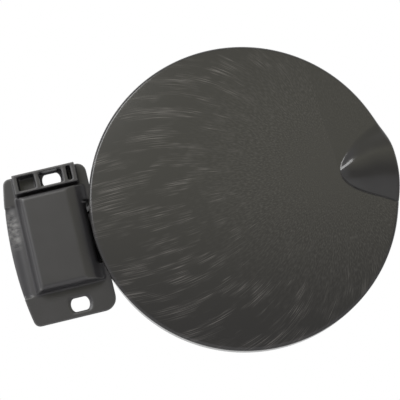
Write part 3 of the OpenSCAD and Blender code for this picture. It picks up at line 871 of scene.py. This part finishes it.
@dataclass
class SoftMoulding:
    """CAD node remade with the soft corners of a worn mould: an even skin of small quads, relaxed."""

    node: str
    body: Body
    slot: str
    voxel_mm: float = 0.4
    rounds: int = 12
    walls_end_mm: tuple[float, float] | None = None
    longer_mm: tuple[float, float] = (0.0, 0.0)
    roll_axis_mm: tuple[float, float] | None = None
    roll_inner_mm: float = 7.1
    roll_thicker_mm: float = 1.1

    def build(self, material: bpy.types.Material) -> bpy.types.Object:
        """Weld a copy of the node, skin it with even quads and relax them.

        Args:
            material: finish of the moulding.

        Returns:
            The piece, which stands for the CAD node.
        """
        piece = copy_node(self.node, "_soft", material)
        self.lengthen(piece.data)
        self.thicken_roll(piece.data)
        skin = piece.modifiers.new("even skin", "REMESH")
        skin.mode = "VOXEL"
        skin.voxel_size = self.voxel_mm * MM
        skin.use_smooth_shade = True
        relax = piece.modifiers.new("relaxed corners", "SMOOTH")
        relax.factor = 0.5
        relax.iterations = self.rounds
        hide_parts(self.node)
        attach(piece, self.body.value)
        return piece

    def lengthen(self, mesh: bpy.types.Mesh) -> None:
        """Carry the walls beside the notch on towards the door and further in, so no light passes them.

        Args:
            mesh: the copy, in metres.
        """
        if self.walls_end_mm is None:
            return
        places = vertex_places(mesh)
        end_x, end_y = self.walls_end_mm
        outer = (np.abs(places[:, 0] - end_x * MM) < ON_FACE_M) & (places[:, 1] > -ON_FACE_M)
        inner = np.abs(places[:, 1] - end_y * MM) < ON_FACE_M
        LOG.info("%s: %d corners of the walls moved", mesh.name, int((outer | inner).sum()))
        places[outer, 0] += self.longer_mm[0] * MM
        places[inner, 1] += self.longer_mm[1] * MM
        move_vertices(mesh, places)

    def thicken_roll(self, mesh: bpy.types.Mesh) -> None:
        """Draw the rolled edge's inner face in, because the skin's quads tear a wall thinner than they are.

        Args:
            mesh: the copy, in metres.
        """
        if self.roll_axis_mm is None:
            return
        places = vertex_places(mesh)
        across = places[:, :2] - np.array(self.roll_axis_mm) * MM
        reach = np.hypot(across[:, 0], across[:, 1])
        on_roll = np.abs(reach - self.roll_inner_mm * MM) < 3 * ON_FACE_M
        inner = on_roll & (across[:, 0] < 0) & (across[:, 1] < ON_FACE_M)
        LOG.info("%s: %d points of the roll drawn in", mesh.name, int(inner.sum()))
        places[inner, :2] -= across[inner] * (self.roll_thicker_mm / self.roll_inner_mm)
        move_vertices(mesh, places)


@dataclass
class Moulding:
    """Welded copy of a CAD node, smooth over its curved faces and crisp at its edges."""

    node: str
    body: Body
    slot: str
    sharp_deg: float = 24.0

    def build(self, material: bpy.types.Material) -> bpy.types.Object:
        """Weld a copy of the node, dress it and shade its flat faces flat.

        Args:
            material: finish of the moulding.

        Returns:
            The piece, which stands for the CAD node.
        """
        piece = copy_node(self.node, "_moulded", material)
        shade(piece.data, self.sharp_deg)
        flat = piece.modifiers.new("flat faces", "WEIGHTED_NORMAL")
        flat.keep_sharp = True
        flat.weight = 100
        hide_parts(self.node)
        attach(piece, self.body.value)
        return piece


# Studio


@dataclass(frozen=True)
class Lamp:
    """Soft rectangular lamp that faces the object.

    Its place is in metres to the right of the aim, up from it and towards the camera, as the photo is framed.
    Its size is width and height in metres. turn_deg turns the long side anticlockwise as the camera sees it.
    """

    name: str
    place: tuple[float, float, float]
    size: tuple[float, float]
    watts: float
    turn_deg: float = 0.0


@dataclass
class Studio:
    """Floor, lamps, surroundings and the camera at the photo's angle."""

    aim_from_door_mm: tuple[float, float] = (-23.3, 3.45)
    aim_depth_mm: float = -12.0
    room: tuple[tuple[float, float], ...] = (
        (-0.35, 0.45), (-0.05, 0.15), (0.12, 0.1), (0.4, 0.74), (0.6, 0.78), (0.9, 0.4))
    room_warmth: tuple[float, float, float] = (1.04, 1.02, 0.76)
    left_wall: float = 0.5
    left_wall_from: tuple[float, float] = (-0.2, -0.5)
    behind_from: tuple[float, float] = (0.3, -0.1)
    fill_level: tuple[float, float] = (0.27, 0.54)
    fill_from: tuple[float, float] = (-0.5, 0.9)
    away: tuple[float, float, float] = (-0.384, 0.0, -0.923)
    tilt_deg: float = 11.5
    roll_deg: float = 13.3
    distance_m: float = 0.8
    frame_width_mm: float = 212.6
    sensor_mm: float = 36.0
    lamps: tuple[Lamp, ...] = (Lamp("key lamp", (-0.58, 0.56, 0.67), (0.8, 0.32), 6.4, 34.0),
                               Lamp("front lamp", (0.0, -0.38, 0.92), (0.4, 0.25), 2.2))
    floor_hex: str = "#ececec"
    floor_half_m: float = 1.5
    floor_z_m: float = -0.42

    def camera(self, centre_mm: np.ndarray) -> None:
        """Place the camera on the photo's line of sight, rolled as the part lies in the photo.

        Args:
            centre_mm: X and Z of the door's centre.
        """
        side = Vector(self.away).normalized() * math.sin(math.radians(self.tilt_deg))
        out = side + Vector((0, -math.cos(math.radians(self.tilt_deg)), 0))
        aim_x, aim_z = centre_mm + self.aim_from_door_mm
        aim = Vector((aim_x, self.aim_depth_mm, aim_z)) * MM
        forward = -out.normalized()
        flat_right = (Vector((1, 0, 0)) - forward * forward.x).normalized()
        flat_up = flat_right.cross(forward)
        roll = math.radians(self.roll_deg)
        right = flat_right * math.cos(roll) - flat_up * math.sin(roll)
        up = flat_right * math.sin(roll) + flat_up * math.cos(roll)
        turn = Matrix((right, up, -forward)).transposed()
        lens = bpy.data.cameras.new("camera")
        lens.sensor_fit = "HORIZONTAL"
        lens.sensor_width = self.sensor_mm
        lens.lens = self.sensor_mm * self.distance_m / (self.frame_width_mm * MM)
        lens.clip_start = 0.01
        camera = new_object("camera", lens)
        camera.matrix_world = Matrix.Translation(aim + out.normalized() * self.distance_m) @ turn.to_4x4()
        bpy.context.scene.camera = camera
        self.right, self.up, self.out, self.aim = right, up, out.normalized(), aim

    def light(self, lamp: Lamp) -> None:
        """Hang a lamp.

        Args:
            lamp: the lamp, as placed from the aim.
        """
        data = bpy.data.lights.new(lamp.name, "AREA")
        data.shape = "RECTANGLE"
        data.size, data.size_y = lamp.size
        data.energy = lamp.watts
        across, up, out = lamp.place
        where = self.aim + self.right * across + self.up * up + self.out * out
        facing = (self.aim - where).to_track_quat("-Z", "Y").to_matrix().to_4x4()
        turn = Matrix.Rotation(math.radians(lamp.turn_deg), 4, "Z")
        new_object(lamp.name, data).matrix_world = Matrix.Translation(where) @ facing @ turn

    def surroundings(self) -> None:
        """Light from a plain world: white behind the part, grey above and dark below on the camera's side.

        The camera and glass see the white all round. Gloss sees the white behind the part and beside it, and
        on the camera's side the room, whose upper half is the brighter one.
        """
        world = bpy.data.worlds.new("studio")
        world.use_nodes = True
        tree = world.node_tree
        tree.nodes.clear()
        look = add_node(tree, "ShaderNodeTexCoord")
        aside, rise, front = (
            add_node(tree, "ShaderNodeVectorMath", {"operation": "DOT_PRODUCT"},
                     in0=look.outputs["Generated"], in1=axis).outputs["Value"]
            for axis in (self.right, self.up, self.out))

        # What gloss sees: the room and its left wall in front, white behind the part
        place = add_node(tree, "ShaderNodeMapRange", Value=rise, From_Min=-1.0, From_Max=1.0)
        room = add_node(tree, "ShaderNodeValToRGB", Fac=place.outputs[0])
        stops = room.color_ramp.elements
        for i, (height, grey) in enumerate(self.room):
            stop = stops[i] if i < 2 else stops.new((height + 1) / 2)
            stop.position, stop.color = (height + 1) / 2, (*[grey * c for c in self.room_warmth], 1.0)
        white = (1.0, 1.0, 1.0, 1.0)
        wall = (self.left_wall, self.left_wall, self.left_wall, 1.0)
        walled = blend(tree, ease(tree, aside, *self.left_wall_from), room.outputs[0], wall)
        gloss = blend(tree, ease(tree, front, *self.behind_from), walled, white)

        # Other light grows from below to above, and the camera and glass see white
        fill = ease(tree, rise, *self.fill_from, *self.fill_level)
        path = add_node(tree, "ShaderNodeLightPath")
        level = blend(tree, path.outputs["Is Glossy Ray"], fill, gloss)
        seen = maths(tree, "MAXIMUM", path.outputs["Is Camera Ray"], path.outputs["Is Transmission Ray"])
        sky = add_node(tree, "ShaderNodeBackground", Color=blend(tree, seen, level, white), Strength=1.0)
        add_node(tree, "ShaderNodeOutputWorld", Surface=sky.outputs[0])
        bpy.context.scene.world = world

    def floor(self) -> None:
        """Lay a plain pale floor well below the held part."""
        half, z = self.floor_half_m, self.floor_z_m
        corners = [(-half, -half, z), (half, -half, z), (half, half, z), (-half, half, z)]
        mesh = bpy.data.meshes.new("floor")
        mesh.from_pydata(corners, [], [(0, 1, 2, 3)])
        floor = new_object("floor", mesh)
        material, tree = new_material("pale studio floor")
        shader = add_node(tree, "ShaderNodeBsdfPrincipled", Base_Color=linear(self.floor_hex), Roughness=0.9)
        finish_surface(tree, shader)
        mesh.materials.append(material)

    def build(self, centre_mm: np.ndarray) -> None:
        """Set up the camera, the lamps, the world and the floor.

        Args:
            centre_mm: X and Z of the door's centre.
        """
        bpy.context.scene.view_settings.view_transform = "Standard"
        self.camera(centre_mm)
        for lamp in self.lamps:
            self.light(lamp)
        self.surroundings()
        self.floor()


def main() -> None:
    """Build the finishes, the pieces and the studio."""
    logging.basicConfig(level=logging.INFO, format="%(name)s: %(message)s")
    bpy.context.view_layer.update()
    skin = DoorSkin()
    studio = Studio()
    studio.build(skin.centre)

    charcoal = FlakedPolymer().build(skin.centre)
    # The bracket's nylon gets a painted reflection on its rolled edge and painted highlights on its corners
    bracket_nylon = GlassFilledNylon("moulded dark grey glass filled nylon", "#353436", "#3c3b3d",
                                     sheen_patch_at_mm=(-26.0, 12.7), painted_edge_glint=0.5).build()
    carrier_nylon = GlassFilledNylon("moulded black glass filled nylon", "#242425", "#2c2c2c").build()
    zinc = BareSteel("zinc plated steel", "#b9bbbd", 0.34, 0.3).build()
    spring = BareSteel("rolled spring steel", "#8d9096", 0.3, 0.2, (0.05, 1.0, 1.0)).build()
    acetal = Acetal().build()
    rubber = Rubber().build()

    skin.build(charcoal)
    LOG.info("door_skin: %d faces", len(skin.piece.data.polygons))
    SoftMoulding("hinge_bracket", Body.BRACKET, "bracket_plastic", walls_end_mm=(16.4, 12.0),
                 longer_mm=(2.6, 4.5), roll_axis_mm=(-21.1, 6.8)).build(bracket_nylon)
    Moulding("panel_carrier", Body.DOOR, "carrier_plastic").build(carrier_nylon)
    for node, material in {
        "hinge_pin": zinc, "carrier_screws": zinc, "pin_clip": spring, "leaf_spring": spring,
        "bush_lower": acetal, "bush_upper": acetal, "buffer_upper": rubber, "buffer_lower": rubber,
    }.items():
        dress(node, material)
        LOG.info("%s: %s", node, material.name)


if __name__ == "__main__":
    main()
